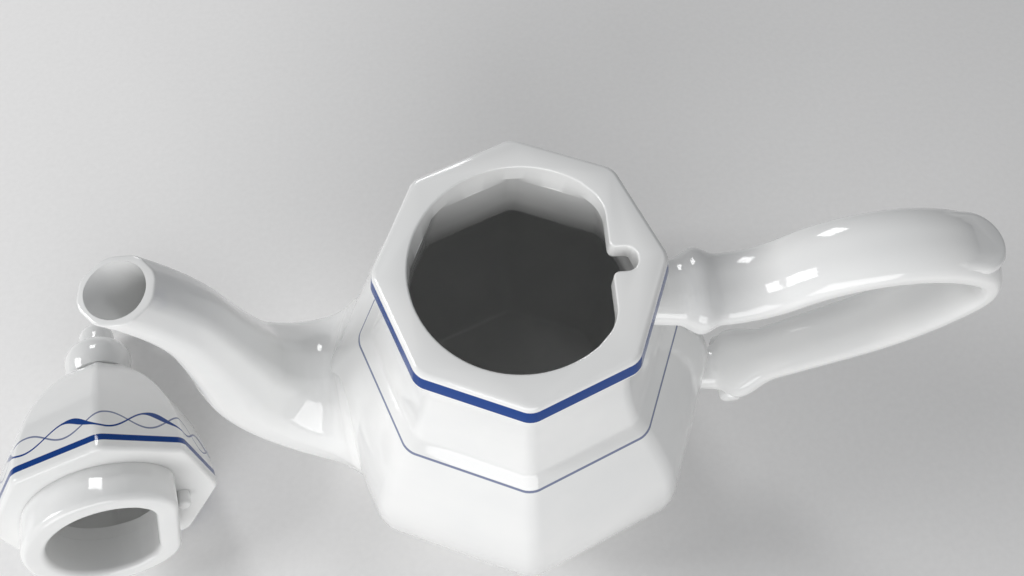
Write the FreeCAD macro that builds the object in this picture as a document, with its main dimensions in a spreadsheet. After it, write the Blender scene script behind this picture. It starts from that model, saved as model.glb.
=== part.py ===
import FreeCAD, Part
import math
import os
import re

import Sketcher

# Octagonal porcelain teapot, in millimetres. The origin is the middle of the foot, +Z is up,
# the spout points to -X and the handle to +X, both on corners of the octagon.
# Half widths of the octagon are measured from the axis to the middle of a flat.

SIZES = {
    # pot outside
    "sides": 8,
    "rim_height": 152.0,
    "rim_half_width": 35.1,
    "rim_edge": 1.2,
    "rim_band": 5.2,
    "rim_overhang": 0.4,
    "groove_half_width": 41.6,
    "groove_height": 107.8,
    "shoulder_half_width": 45.9,
    "shoulder_height": 104.6,
    "belly_half_width": 64.7,
    "belly_height": 49.0,
    "foot_neck_half_width": 48.0,
    "foot_height": 5.0,
    "foot_half_width": 47.0,
    "foot_ring_width": 6.0,
    "foot_recess": 2.0,
    "corner_softening": 0.7,
    "stock_margin": 20.0,
    # pot inside
    "wall": 4.2,
    "floor_height": 7.5,
    "floor_half_width": 41.0,
    "crease_half_width": 35.3,
    "crease_height": 111.0,
    "flange": 6.5,
    "mouth_radius": 28.5,
    "mouth_flat": 23.0,
    "mouth_corner": 5.0,
    "mouth_lip": 0.8,
    "notch_width": 6.8,
    "notch_tip": 29.8,
    "notch_corner": 2.0,
    # strainer in the wall behind the spout
    "strainer_hole_radius": 2.4,
    "strainer_pitch": 7.4,
    "strainer_height": 57.0,
    # spout
    "spout_run": 90.5,
    "spout_root_height": 55.0,
    "spout_bend": 34.0,
    "spout_root_run": 18.0,
    "spout_rise": 34.0,
    "spout_tip_bend": 47.0,
    "spout_tip_turn": 60.0,
    "spout_mouth_height": 152.0,
    "spout_root_half_width": 30.0,
    "spout_tip_half_width": 9.8,
    "spout_taper": 2.3,
    "spout_flatness": 0.24,
    "spout_softening": 0.35,
    "spout_bend_stations": 4,
    "spout_rise_stations": 2,
    "spout_tip_stations": 3,
    "spout_wall": 3.4,
    # handle
    "handle_start": 30.0,
    "handle_height": 127.0,
    "handle_stub": 25.0,
    "handle_rise_radius": 25.0,
    "handle_rise_turn": 50.0,
    "handle_crest_radius": 35.5,
    "handle_crest_turn": 80.0,
    "handle_bend_radius": 20.0,
    "handle_bend_turn": 68.0,
    "handle_back_radius": 76.0,
    "handle_back_turn": 35.0,
    "handle_lower_run": 42.0,
    "handle_heel_radius": 14.0,
    "handle_heel_turn": 42.0,
    "handle_foot_run": 14.0,
    "strap_width": 21.3,
    "strap_thickness": 10.5,
    "strap_bevel": 3.4,
    "bead_place": 50.0,
    "bead_half_width": 12.7,
    "bead_half_depth": 7.6,
    "bead_bevel": 4.2,
    "bead_length": 8.6,
    "bead_edge": 3.4,
    "thumb_rest_start": 102.0,
    "thumb_rest_height": 151.0,
    "thumb_rest_tilt": 16.0,
    "thumb_rest_length": 26.5,
    "thumb_rest_width": 22.6,
    "thumb_rest_depth": 5.0,
    "thumb_rest_edge": 1.8,
    "spur_radius": 5.2,
    "spur_edge": 2.4,
    # lid, in its own frame: the underside is level zero and the knob points up
    "lid_inset": 0.5,
    "lid_edge": 1.5,
    "lid_top_half_width": 9.0,
    "lid_top_height": 63.5,
    "lid_wall": 4.5,
    "lid_plate": 5.0,
    "lid_cavity_half_width": 10.0,
    "lid_cavity_height": 52.0,
    "collar_depth": 14.5,
    "collar_wall": 7.5,
    "collar_edge": 2.4,
    "collar_clearance": 0.8,
    "key_clearance": 0.8,
    "key_reach": 27.0,
    "key_depth": 6.0,
    "key_edge": 1.2,
    "knob_seat_radius": 10.4,
    "knob_bead_radius": 12.6,
    "knob_bead_height": 71.5,
    "knob_waist_radius": 6.1,
    "knob_waist_height": 79.5,
    "knob_tip_radius": 6.7,
    "knob_height": 92.0,
    # where the lid lies
    "lid_place_x": -151.5,
    "lid_place_y": -35.1,
    "lid_turn": 20.3,
    "lid_tilt": 17.6,
}

# Sizes that follow from the ones above.
DERIVED = {
    "half_facet": "180deg / sides",
    "corner": "1 / cos(half_facet)",
    "neck_half_width": "rim_half_width - rim_overhang",
    "neck_height": "rim_height - rim_band",
    "core_top": "rim_height - flange",
    "spout_top": "spout_root_height + spout_bend + spout_rise",
    "spout_start": "spout_run - spout_bend",
    "spout_quarter": "spout_bend * pi / 2",
    "spout_length": "spout_quarter + spout_rise + spout_tip_bend * spout_tip_turn * pi / 180",
    "soft_flat": "tan(half_facet) * (1 - spout_softening)",
    "soft_slope": "tan(half_facet) * spout_softening / sqrt(2)",
    "lid_half_width": "rim_half_width - lid_inset",
    "lid_fall": "lid_half_width - lid_top_half_width",
    "lid_arc": "((lid_top_height - lid_edge)^2 + lid_fall^2) / (2 * lid_fall)",
    "collar_radius": "mouth_radius - collar_clearance",
    "collar_flat": "mouth_flat - collar_clearance",
    "collar_bore_radius": "collar_radius - collar_wall",
    "collar_bore_flat": "collar_flat - collar_wall",
    "key_width": "notch_width - 2 * key_clearance",
    # the lid rests on one flat of its dome
    "lid_lift_across": "(lid_half_width - lid_arc) * cos(lid_tilt * 1deg)",
    "lid_place_z": "lid_lift_across + lid_edge * sin(lid_tilt * 1deg) + lid_arc",
}

# Lengths below this are taken as none.
TINY = 1e-4
# The origin of a sketch, as constraints name it.
ORIGIN = (-1, 1)

doc = FreeCAD.newDocument("teapot")
sheet = doc.addObject("Spreadsheet::Sheet", "sizes")


def enter(row, name, content):
    """Writes one named size on its row of the sheet."""
    sheet.set(f"A{row}", name.replace("_", " "))
    sheet.set(f"B{row}", content)
    sheet.setAlias(f"B{row}", name)


for name, value in SIZES.items():
    enter(len(sheet.getUsedCells()) // 2 + 1, name, str(value))
doc.recompute()
for name, formula in DERIVED.items():
    enter(len(sheet.getUsedCells()) // 2 + 1, name, "=" + formula)
    doc.recompute()


def size(expression):
    """The present value of an expression on the sheet."""
    value = sheet.evalExpression(expression)
    return float(getattr(value, "Value", value))


def on_sheet(expression):
    """The same expression as seen from another object of the document."""
    names = list(SIZES) + list(DERIVED)
    words = re.split(r"(\w+)", expression)
    return "".join("sizes." + word if word in names else word for word in words)


def bind(item, **expressions):
    """Sets sizes of an object as expressions on the sheet."""
    for key, expression in expressions.items():
        item.setExpression(key, on_sheet(expression))


def plane(body, role):
    """A plane or axis of the body's own origin."""
    return next(feature for feature in body.Origin.OriginFeatures if feature.Role == role)


def new_body(name):
    body = doc.addObject("PartDesign::Body", name)
    body.Label = name
    doc.recompute()
    return body


def new_sketch(body, name, role):
    sketch = body.newObject("Sketcher::SketchObject", name)
    sketch.AttachmentSupport = (plane(body, role), [""])
    sketch.MapMode = "FlatFace"
    return sketch


def pin(sketch, place, axis, expression):
    """Holds one coordinate of a sketch point at an expression, measured from the sketch's origin."""
    value = size(expression)
    if abs(value) < TINY:
        line = {"DistanceX": -2, "DistanceY": -1}[axis]
        sketch.addConstraint(Sketcher.Constraint("PointOnObject", *place, line))
        return
    ends = (ORIGIN, place) if value > 0 else (place, ORIGIN)
    index = sketch.addConstraint(Sketcher.Constraint(axis, *ends[0], *ends[1], abs(value)))
    signed = expression if value > 0 else f"-({expression})"
    sketch.setExpression(f"Constraints[{index}]", on_sheet(signed))


def level_arc(start, end, level):
    """An arc whose centre is as high as one of its ends."""
    near, far = (start, end) if level == "start" else (end, start)
    span = near.x**2 - far.x**2 - (far.y - near.y) ** 2
    centre = FreeCAD.Vector(span / (2 * (near.x - far.x)), near.y, 0)
    return through(start, end, centre)


def radius_arc(start, end, radius, side):
    """An arc of a given radius, bulging to the left (1) or to the right (-1) of its direction."""
    chord = end - start
    across = FreeCAD.Vector(-chord.y, chord.x, 0).normalize()
    offset = math.sqrt(max(radius**2 - chord.Length**2 / 4, 0))
    centre = (start + end) / 2 - across * side * offset
    bulge = centre + across * side * radius
    return Part.Arc(start, bulge, end)


def through(start, end, centre):
    middle = (start + end) / 2 - centre
    return Part.Arc(start, centre + middle.normalize() * start.distanceToPoint(centre), end)


def outline(sketch, steps, closed=True):
    """Draws points given as expressions, joined by lines, level arcs or arcs of a given radius."""
    points = [FreeCAD.Vector(size(step[0]), size(step[1]), 0) for step in steps]
    edges = []
    for number, step in enumerate(steps if closed else steps[:-1]):
        start = points[number]
        end = points[(number + 1) % len(points)]
        bend = step[2] if len(step) > 2 else None
        if bend is None:
            curve = Part.LineSegment(start, end)
        elif bend in ("start", "end"):
            curve = level_arc(start, end, bend)
        else:
            curve = radius_arc(start, end, size(bend), step[3])
        edge = sketch.addGeometry(curve)
        forward = sketch.getPoint(edge, 1).distanceToPoint(start) < TINY
        ends = ((edge, 1), (edge, 2)) if forward else ((edge, 2), (edge, 1))
        edges.append((ends, bend))
    for number, (ends, bend) in enumerate(edges):
        step = steps[number]
        pin(sketch, ends[0], "DistanceX", step[0])
        pin(sketch, ends[0], "DistanceY", step[1])
        if number + 1 < len(edges) or closed:
            following = edges[(number + 1) % len(edges)][0]
            sketch.addConstraint(Sketcher.Constraint("Coincident", *ends[1], *following[0]))
        else:
            pin(sketch, ends[1], "DistanceX", steps[-1][0])
            pin(sketch, ends[1], "DistanceY", steps[-1][1])
        edge = ends[0][0]
        if bend in ("start", "end"):
            level = ends[0] if bend == "start" else ends[1]
            sketch.addConstraint(Sketcher.Constraint("Horizontal", edge, 3, *level))
        elif bend is not None:
            index = sketch.addConstraint(Sketcher.Constraint("Radius", edge, size(bend)))
            sketch.setExpression(f"Constraints[{index}]", on_sheet(bend))


def circle(sketch, radius, across="0", up="0"):
    """A circle of a bound radius at a bound place."""
    centre = FreeCAD.Vector(size(across), size(up), 0)
    edge = sketch.addGeometry(Part.Circle(centre, FreeCAD.Vector(0, 0, 1), size(radius)))
    index = sketch.addConstraint(Sketcher.Constraint("Radius", edge, size(radius)))
    sketch.setExpression(f"Constraints[{index}]", on_sheet(radius))
    pin(sketch, (edge, 3), "DistanceX", across)
    pin(sketch, (edge, 3), "DistanceY", up)


def feature(body, kind, name, sketch, length=None, **settings):
    """A solid feature on a sketch, with its length as an expression where it has one."""
    item = body.newObject(f"PartDesign::{kind}", name)
    item.Profile = sketch
    for key, value in settings.items():
        setattr(item, key, value)
    if length:
        bind(item, Length=length)
    body.Tip = item
    doc.recompute()
    return item


def cut(body, name, sketch, length=None, **settings):
    """A pocket or groove that has to take something away."""
    before = body.Shape.Volume
    kind = "Groove" if "ReferenceAxis" in settings else "Pocket"
    item = feature(body, kind, name, sketch, length, **settings)
    if body.Shape.Volume > before - TINY:
        raise RuntimeError(f"{name} cuts nothing")
    return item


def rounded(body, name, radius, chosen):
    """Rounds the edges of the body that a test picks out."""
    edges = [f"Edge{number}" for number, edge in enumerate(body.Shape.Edges, 1) if chosen(edge)]
    base = body.Tip
    item = body.newObject("PartDesign::Fillet", name)
    item.Base = (base, edges)
    bind(item, Radius=radius)
    body.Tip = item
    doc.recompute()
    return item


def octagon(name, steps, bottom, top, widest, soft=True):
    """A solid of eight equal sides with one profile on each, and softly rounded corners if asked.

    The profile runs upwards. Round stock is cut to it from eight directions, and then turned down
    a little at the corners.
    """
    body = new_body(name)
    stock = new_sketch(body, name + "_stock", "XY_Plane")
    bind(stock, **{".AttachmentOffset.Base.z": bottom})
    circle(stock, f"({widest}) * corner + stock_margin / 2")
    feature(body, "Pad", name + "_blank", stock, f"({top}) - ({bottom})")
    beyond = f"({widest}) * corner + stock_margin"
    around = [(steps[-1][0], f"({top}) + stock_margin"), (beyond, f"({top}) + stock_margin")]
    around += [(beyond, f"({bottom}) - stock_margin"), (steps[0][0], f"({bottom}) - stock_margin")]
    side = new_sketch(body, name + "_side", "XZ_Plane")
    bind(side, **{".AttachmentOffset.Rotation.Angle": "half_facet"})
    side.AttachmentOffset.Rotation.Axis = FreeCAD.Vector(0, 1, 0)
    outline(side, steps + around)
    facet = cut(body, name + "_facet", side, Type="ThroughAll", Midplane=True)
    facets = body.newObject("PartDesign::PolarPattern", name + "_facets")
    facets.Originals = [facet]
    facets.Axis = (plane(body, "Z_Axis"), [""])
    facets.Angle = 360
    bind(facets, Occurrences="sides")
    body.Tip = facets
    doc.recompute()
    if not soft:
        return body
    inner = [(f"({step[0]}) * corner - corner_softening",) + tuple(step[1:]) for step in steps]
    around[0] = (inner[-1][0], around[0][1])
    around[3] = (inner[0][0], around[3][1])
    corner = new_sketch(body, name + "_corner", "XZ_Plane")
    outline(corner, inner + around)
    cut(body, name + "_corners", corner, ReferenceAxis=(corner, ["V_Axis"]), Angle=360)
    return body


def d_shape(radius, flat, corner):
    """A round with one flat side on +X and rounded corners beside the flat."""
    centre = f"sqrt((({radius}) - ({corner}))^2 - (({flat}) - ({corner}))^2)"
    out = f"({radius}) / (({radius}) - ({corner}))"
    meet_x = f"(({flat}) - ({corner})) * {out}"
    meet_y = f"{centre} * {out}"
    return [
        (flat, f"-{centre}"),
        (flat, centre, corner, -1),
        (meet_x, meet_y, radius, -1),
        (f"-({radius})", "0", radius, -1),
        (meet_x, f"-{meet_y}", corner, -1),
    ]


def slot(root, tip, width):
    """A tongue along +X with a round end."""
    half = f"({width}) / 2"
    shoulder = f"({tip}) - {half}"
    return [
        (root, f"-{half}"),
        (shoulder, f"-{half}", half, -1),
        (tip, "0", half, -1),
        (shoulder, half),
        (root, half),
    ]


def boolean(kind, name, base, *tools):
    """A cut of one object by another, or a union of several."""
    item = doc.addObject(f"Part::{kind}", name)
    if kind == "Cut":
        item.Base = base
        item.Tool = tools[0]
    else:
        item.Shapes = [base, *tools]
    doc.recompute()
    return item


def shaped(name, base):
    """A body that goes on from the shape of another object."""
    body = new_body(name)
    body.BaseFeature = base
    doc.recompute()
    return body


def turned(axis, angle):
    vector = {"X": "1; 0; 0", "Y": "0; 1; 0", "Z": "0; 0; 1"}[axis]
    return f"create(<<rotation>>; create(<<vector>>; {vector}); {angle})"


def placed(across, along, up, rotation):
    return f"create(<<placement>>; create(<<vector>>; {across}; {along}; {up}); {rotation})"


# The vessel: eight sides from foot to rim.
pot_profile = [
    ("foot_half_width", "0"),
    ("foot_neck_half_width", "foot_height", "end"),
    ("belly_half_width", "belly_height", "start"),
    ("shoulder_half_width", "shoulder_height"),
    ("groove_half_width", "groove_height", "end"),
    ("neck_half_width", "neck_height"),
    ("rim_half_width", "neck_height"),
    ("rim_half_width", "rim_height - rim_edge", "start"),
    ("rim_half_width - rim_edge", "rim_height"),
]
pot_solid = octagon("pot_solid", pot_profile, "0", "rim_height", "belly_half_width")

core_profile = [
    ("floor_half_width", "floor_height", "end"),
    ("belly_half_width - wall", "belly_height", "start"),
    ("crease_half_width", "crease_height", "end"),
    ("neck_half_width - wall", "core_top"),
]
pot_core = octagon(
    "pot_core", core_profile, "floor_height", "core_top", "belly_half_width - wall", soft=False
)
pot_body = shaped("pot_body", boolean("Cut", "pot_hollow", pot_solid, pot_core))

mouth = new_sketch(pot_body, "mouth", "XY_Plane")
bind(mouth, **{".AttachmentOffset.Base.z": "rim_height"})
outline(mouth, d_shape("mouth_radius", "mouth_flat", "mouth_corner"))
cut(pot_body, "mouth_cut", mouth, "2 * flange")
notch = new_sketch(pot_body, "notch", "XY_Plane")
bind(notch, **{".AttachmentOffset.Base.z": "rim_height"})
outline(notch, slot("mouth_flat - notch_width", "notch_tip", "notch_width"))
cut(pot_body, "notch_cut", notch, "2 * flange")


def at_notch(edge):
    box = edge.BoundBox
    on_flat = abs(box.XMin - size("mouth_flat")) < TINY and abs(box.XMax - box.XMin) < TINY
    return on_flat and box.ZLength > TINY and abs(abs(box.YMin) - size("notch_width / 2")) < TINY


def at_mouth(edge):
    box = edge.BoundBox
    level = abs(box.ZMin - size("rim_height")) < TINY and box.ZLength < TINY
    return level and max(abs(box.XMin), abs(box.XMax)) < size("notch_tip") + TINY


rounded(pot_body, "notch_corners", "notch_corner", at_notch)
rounded(pot_body, "mouth_lips", "mouth_lip", at_mouth)

recess = new_sketch(pot_body, "recess", "XY_Plane")
circle(recess, "foot_half_width - foot_ring_width")
cut(pot_body, "recess_cut", recess, "foot_recess", Reversed=True)

strainer = new_sketch(pot_body, "strainer", "YZ_Plane")
circle(strainer, "strainer_hole_radius", "0", "strainer_height")
RING = 6
for number in range(RING):
    angle = f"{number} * 360deg / {RING}"
    across = f"strainer_pitch * cos({angle})"
    circle(strainer, "strainer_hole_radius", across, f"strainer_height + strainer_pitch * sin({angle})")
cut(pot_body, "strainer_cut", strainer, Type="ThroughAll")


# The spout: soft octagons along a bend, a straight rise and an outward tip.
def soft_octagon(half_depth, half_width):
    """Points of an octagon with bevelled corners, anticlockwise from +X."""
    quarter = [("1", "soft_flat"), ("1 - soft_slope", "tan(half_facet) + soft_slope")]
    quarter += [(second, first) for first, second in reversed(quarter)]
    ring = [(first, second) for first, second in quarter]
    ring += [(f"-({first})", second) for first, second in reversed(quarter)]
    ring += [(f"-({first})", f"-({second})") for first, second in quarter]
    ring += [(first, f"-({second})") for first, second in reversed(quarter)]
    return [(f"({half_depth}) * ({first})", f"({half_width}) * ({second})") for first, second in ring]


def spout_places():
    """Distance out, height, travel and angle of the stations on the spout's middle line."""
    yield "spout_start - spout_root_run", "spout_root_height", "0", "0deg"
    for number in range(int(size("spout_bend_stations"))):
        angle = f"90deg * {number} / spout_bend_stations"
        out = f"spout_start + spout_bend * sin({angle})"
        height = f"spout_root_height + spout_bend * (1 - cos({angle}))"
        yield out, height, f"spout_quarter * {number} / spout_bend_stations", angle
    for number in range(int(size("spout_rise_stations"))):
        way = f"spout_rise * {number} / spout_rise_stations"
        height = f"spout_root_height + spout_bend + {way}"
        yield "spout_run", height, f"spout_quarter + {way}", "90deg"
    for number in range(int(size("spout_tip_stations")) + 1):
        part = f"spout_tip_turn * {number} / spout_tip_stations"
        out = f"spout_run + spout_tip_bend * (1 - cos({part} * 1deg))"
        height = f"spout_top + spout_tip_bend * sin({part} * 1deg)"
        way = f"spout_quarter + spout_rise + spout_tip_bend * {part} * pi / 180"
        yield out, height, way, f"90deg - {part} * 1deg"


def spout_solid(name, thinner):
    sections = []
    for number, (out, height, way, angle) in enumerate(spout_places()):
        part = f"({way}) / spout_length"
        swell = f"(spout_root_half_width - spout_tip_half_width) * max(1 - {part}; 0)^spout_taper"
        half_width = f"spout_tip_half_width + {swell}"
        half_depth = f"({half_width}) * (1 - spout_flatness * {part})"
        section = doc.addObject("Sketcher::SketchObject", f"{name}_{number}")
        outline(section, soft_octagon(f"{half_depth} - ({thinner})", f"{half_width} - ({thinner})"))
        bind(section, Placement=placed(f"-({out})", "0", height, turned("Y", f"{angle} - 90deg")))
        sections.append(section)
    doc.recompute()
    loft = doc.addObject("Part::Loft", name)
    loft.Sections = sections
    loft.Solid = True
    doc.recompute()
    return loft


spout_outside = spout_solid("spout_outside", "0")
spout_inside = spout_solid("spout_inside", "spout_wall")
above = doc.addObject("Part::Box", "above_spout")
bind(above, Length="2 * spout_run", Width="2 * spout_run", Height="spout_run")
bind(above, Placement=placed("-2 * spout_run", "-spout_run", "spout_mouth_height", turned("Z", "0")))
spout_seat = boolean("Cut", "spout_seat", spout_outside, pot_solid)
spout_level = boolean("Cut", "spout_level", spout_seat, above)
spout = shaped("spout", boolean("Cut", "spout_bored", spout_level, spout_inside))


# The handle: one strap bent through stub, rise, crest, outer bend, back, lower run and heel.
HANDLE = [
    ("handle_stub", None),
    ("handle_rise_radius", "handle_rise_turn", 1),
    ("handle_crest_radius", "handle_crest_turn", -1),
    ("handle_bend_radius", "handle_bend_turn", -1),
    ("handle_back_radius", "handle_back_turn", -1),
    ("handle_lower_run", None),
    ("handle_heel_radius", "handle_heel_turn", -1),
    ("handle_foot_run", None),
]


def strap_line():
    """Points of the strap's middle line and its heading at the end of each stretch."""
    across, up, heading = "handle_start", "handle_height", "0deg"
    line = []
    headings = []
    for length, turn, *way in HANDLE:
        if turn is None:
            line.append((across, up))
            across = f"{across} + {length} * cos({heading})"
            up = f"{up} + {length} * sin({heading})"
        else:
            line.append((across, up, length, -way[0]))
            after = f"{heading} + {way[0]} * {turn} * 1deg"
            across = f"{across} + {way[0]} * {length} * (sin({after}) - sin({heading}))"
            up = f"{up} - {way[0]} * {length} * (cos({after}) - cos({heading}))"
            heading = after
        headings.append(heading)
    line.append((across, up))
    return line, headings


def bevelled(half_width, half_depth, bevel):
    """A flat octagon around the strap's middle line."""
    quarter = [(half_width, f"{half_depth} - {bevel}"), (f"{half_width} - {bevel}", half_depth)]
    ring = [(across, up) for across, up in quarter]
    ring += [(f"-({across})", up) for across, up in reversed(quarter)]
    ring += [(f"-({across})", f"-({up})") for across, up in quarter]
    ring += [(across, f"-({up})") for across, up in reversed(quarter)]
    return [(across, f"handle_height + ({up})") for across, up in ring]


def on_ends(axis):
    """Picks the edges that lie flat on the two ends of a pad along an axis."""
    return lambda edge: getattr(edge.BoundBox, axis + "Length") < TINY


strap_points, strap_headings = strap_line()
strap = new_body("strap")
spine = new_sketch(strap, "spine", "XZ_Plane")
outline(spine, strap_points, closed=False)
section = new_sketch(strap, "section", "YZ_Plane")
bind(section, **{".AttachmentOffset.Base.z": "handle_start"})
outline(section, bevelled("strap_width / 2", "strap_thickness / 2", "strap_bevel"))
doc.recompute()
bent = strap.newObject("PartDesign::AdditivePipe", "bent")
bent.Profile = section
bent.Spine = (spine, [])
strap.Tip = bent
doc.recompute()

bead = new_body("bead")
bead_section = new_sketch(bead, "bead_section", "YZ_Plane")
bind(bead_section, **{".AttachmentOffset.Base.z": "bead_place - bead_length / 2"})
outline(bead_section, bevelled("bead_half_width", "bead_half_depth", "bead_bevel"))
feature(bead, "Pad", "bead_pad", bead_section, "bead_length")
rounded(bead, "bead_edges", "bead_edge", on_ends("X"))

thumb_rest = new_body("thumb_rest")
rest_plan = new_sketch(thumb_rest, "rest_plan", "XY_Plane")
outline(rest_plan, slot("0", "thumb_rest_length", "thumb_rest_width"))
feature(thumb_rest, "Pad", "rest_pad", rest_plan, "thumb_rest_depth", Reversed=True)
rounded(thumb_rest, "rest_edges", "thumb_rest_edge", on_ends("Z"))
tilt = turned("Y", "thumb_rest_tilt * 1deg")
bind(thumb_rest, Placement=placed("thumb_rest_start", "0", "thumb_rest_height", tilt))

HEEL = [number for number, stretch in enumerate(HANDLE) if stretch[0] == "handle_heel_radius"][0]
heel_heading = strap_headings[HEEL - 1]
spur = new_body("spur")
spur_end = new_sketch(spur, "spur_end", "XZ_Plane")
circle(
    spur_end,
    "spur_radius",
    f"{strap_points[HEEL][0]} - strap_thickness / 2 * sin({heel_heading})",
    f"{strap_points[HEEL][1]} + strap_thickness / 2 * cos({heel_heading})",
)
feature(spur, "Pad", "spur_pad", spur_end, "strap_width", Midplane=True)
rounded(spur, "spur_edges", "spur_edge", on_ends("Y"))
doc.recompute()
grip = boolean("MultiFuse", "grip", strap, bead, thumb_rest, spur)
handle = shaped("handle", boolean("Cut", "handle_seat", grip, pot_solid))


# The lid: dome, collar, key and knob, all in the lid's own frame.
dome_profile = [
    ("lid_half_width - lid_edge", "0", "end"),
    ("lid_half_width", "lid_edge", "start"),
    ("lid_top_half_width", "lid_top_height"),
]
dome_solid = octagon("dome_solid", dome_profile, "0", "lid_top_height", "lid_half_width")
cavity_profile = [
    ("lid_half_width - lid_wall", "lid_plate", "start"),
    ("lid_cavity_half_width", "lid_cavity_height"),
]
dome_core = octagon(
    "dome_core", cavity_profile, "lid_plate", "lid_cavity_height", "lid_half_width - lid_wall", soft=False
)
lid_dome = shaped("lid_dome", boolean("Cut", "dome_hollow", dome_solid, dome_core))
bore_shape = d_shape("collar_bore_radius", "collar_bore_flat", "mouth_corner")
bore = new_sketch(lid_dome, "bore", "XY_Plane")
outline(bore, bore_shape)
cut(lid_dome, "bore_cut", bore, "2 * lid_plate", Reversed=True)

lid_collar = new_body("lid_collar")
ring = new_sketch(lid_collar, "ring", "XY_Plane")
outline(ring, d_shape("collar_radius", "collar_flat", "mouth_corner"))
outline(ring, bore_shape)
feature(lid_collar, "Pad", "ring_pad", ring, "collar_depth", Reversed=True)


def at_collar_end(edge):
    box = edge.BoundBox
    return box.ZLength < TINY and abs(box.ZMin + size("collar_depth")) < TINY


rounded(lid_collar, "ring_edges", "collar_edge", at_collar_end)

lid_key = new_body("lid_key")
tongue = new_sketch(lid_key, "tongue", "XY_Plane")
outline(tongue, slot("collar_flat", "key_reach", "key_width"))
feature(lid_key, "Pad", "tongue_pad", tongue, "key_depth", Reversed=True)


def at_key_end(edge):
    box = edge.BoundBox
    low_edge = box.ZLength < TINY and abs(box.ZMin + size("key_depth")) < TINY
    return low_edge and box.XMax > size("collar_flat") + TINY


rounded(lid_key, "tongue_edges", "key_edge", at_key_end)

lid_knob = new_body("lid_knob")
turning = new_sketch(lid_knob, "turning", "XZ_Plane")
outline(
    turning,
    [
        ("0", "lid_top_height"),
        ("knob_seat_radius", "lid_top_height", "end"),
        ("knob_bead_radius", "knob_bead_height", "start"),
        ("knob_waist_radius", "knob_waist_height", "end"),
        ("knob_tip_radius", "knob_height - knob_tip_radius", "start"),
        ("0", "knob_height"),
    ],
)
feature(lid_knob, "Revolution", "turned_knob", turning, ReferenceAxis=(turning, ["V_Axis"]), Angle=360)

# The lid lies on its side in front of the spout, knob away from the mouth and low.
lid_rotation = " * ".join(
    [turned("Z", "lid_turn * 1deg"), turned("X", "-90deg - lid_tilt * 1deg"), turned("Z", "half_facet")]
)
for piece in (lid_dome, lid_collar, lid_key, lid_knob):
    bind(piece, Placement=placed("lid_place_x", "lid_place_y", "lid_place_z", lid_rotation))
doc.recompute()

pieces = [pot_body, spout, handle, lid_dome, lid_collar, lid_key, lid_knob]
for item in doc.Objects:
    if {"Invalid", "Error"} & set(item.State):
        raise RuntimeError(f"{item.Name} is not in order: {item.State}")
for piece in pieces:
    if piece.Shape.isNull() or not piece.Shape.isValid() or len(piece.Shape.Solids) != 1:
        raise RuntimeError(f"{piece.Label} is not one good solid")
os.makedirs("parts", exist_ok=True)
for piece in pieces:
    piece.Shape.exportStep(f"parts/{piece.Label}.step")
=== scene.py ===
# %% [markdown]
# # An octagonal porcelain teapot with its lid off
#
# The real pot is cast porcelain under a glossy glaze. The CAD step gives its pieces their places and sizes, and
# those stay as they are. In this lesson each piece gets a finer stand-in with rounded edges, because a glossy
# glaze shows every flat facet. All lengths are drawn in millimetres and scaled to metres at the end.

import math

import bpy
from mathutils import Matrix, Vector


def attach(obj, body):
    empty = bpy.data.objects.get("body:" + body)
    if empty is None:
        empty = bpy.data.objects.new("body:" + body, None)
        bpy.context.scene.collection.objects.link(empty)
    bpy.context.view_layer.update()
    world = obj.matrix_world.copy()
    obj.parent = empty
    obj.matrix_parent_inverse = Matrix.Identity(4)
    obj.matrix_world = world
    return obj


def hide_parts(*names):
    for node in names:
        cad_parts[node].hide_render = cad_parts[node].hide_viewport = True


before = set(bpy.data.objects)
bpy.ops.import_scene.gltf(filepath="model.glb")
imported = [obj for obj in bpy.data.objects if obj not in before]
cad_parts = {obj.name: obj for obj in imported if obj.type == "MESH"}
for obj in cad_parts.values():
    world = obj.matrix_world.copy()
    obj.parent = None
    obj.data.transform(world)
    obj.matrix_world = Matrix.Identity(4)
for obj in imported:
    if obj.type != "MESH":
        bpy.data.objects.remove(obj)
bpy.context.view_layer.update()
MM = 0.001
print("CAD nodes:", sorted(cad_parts))

# %% [markdown]
# ## Outside of the vessel
#
# The vessel was cast in an eight-sided mould, so it has flat sides, soft corners and a curved outline. A lathe
# would make it round, and a box would need much cutting. We draw a ring with eight rounded corners instead,
# and extrude and resize it from foot to rim. That keeps the sides flat and takes the outline from a short list.

# %% Rings that climb
def ring(name, vertices, radius, turn=(0, 0, 0)):
    """A circle in edit mode, with all of it selected."""
    bpy.ops.object.select_all(action="DESELECT")
    bpy.ops.mesh.primitive_circle_add(vertices=vertices, radius=radius, rotation=turn)
    piece = bpy.context.object
    piece.name = name
    piece.data.name = name
    bpy.ops.object.transform_apply(location=True, rotation=True, scale=True)
    bpy.ops.object.mode_set(mode="EDIT")
    bpy.ops.mesh.select_all(action="SELECT")
    return piece


def octagon(name, share, steps, turn=(0, 0, 0), corners=8, radius=1):
    """A ring of eight straight sides, or of another number, with rounded corners."""
    piece = ring(name, corners, radius, turn)
    bpy.ops.mesh.bevel(offset=share, segments=steps, affect="VERTICES", profile=0.5)
    bpy.ops.mesh.select_all(action="SELECT")
    return piece


def extrude(move):
    """Extrudes what is selected by one move."""
    bpy.ops.mesh.extrude_region_move(TRANSFORM_OT_translate={"value": move})


def climb(levels, radius=1):
    """Lifts the ring to the first level of (radius, height) and extrudes it through the rest."""
    height = 0
    for number, (wider, higher) in enumerate(levels):
        if number == 0:
            bpy.ops.transform.translate(value=(0, 0, higher))
        else:
            extrude((0, 0, higher - height))
        grow = wider / radius
        bpy.ops.transform.resize(value=(grow, grow, 1), center_override=(0, 0, higher))
        radius, height = wider, higher


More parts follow.
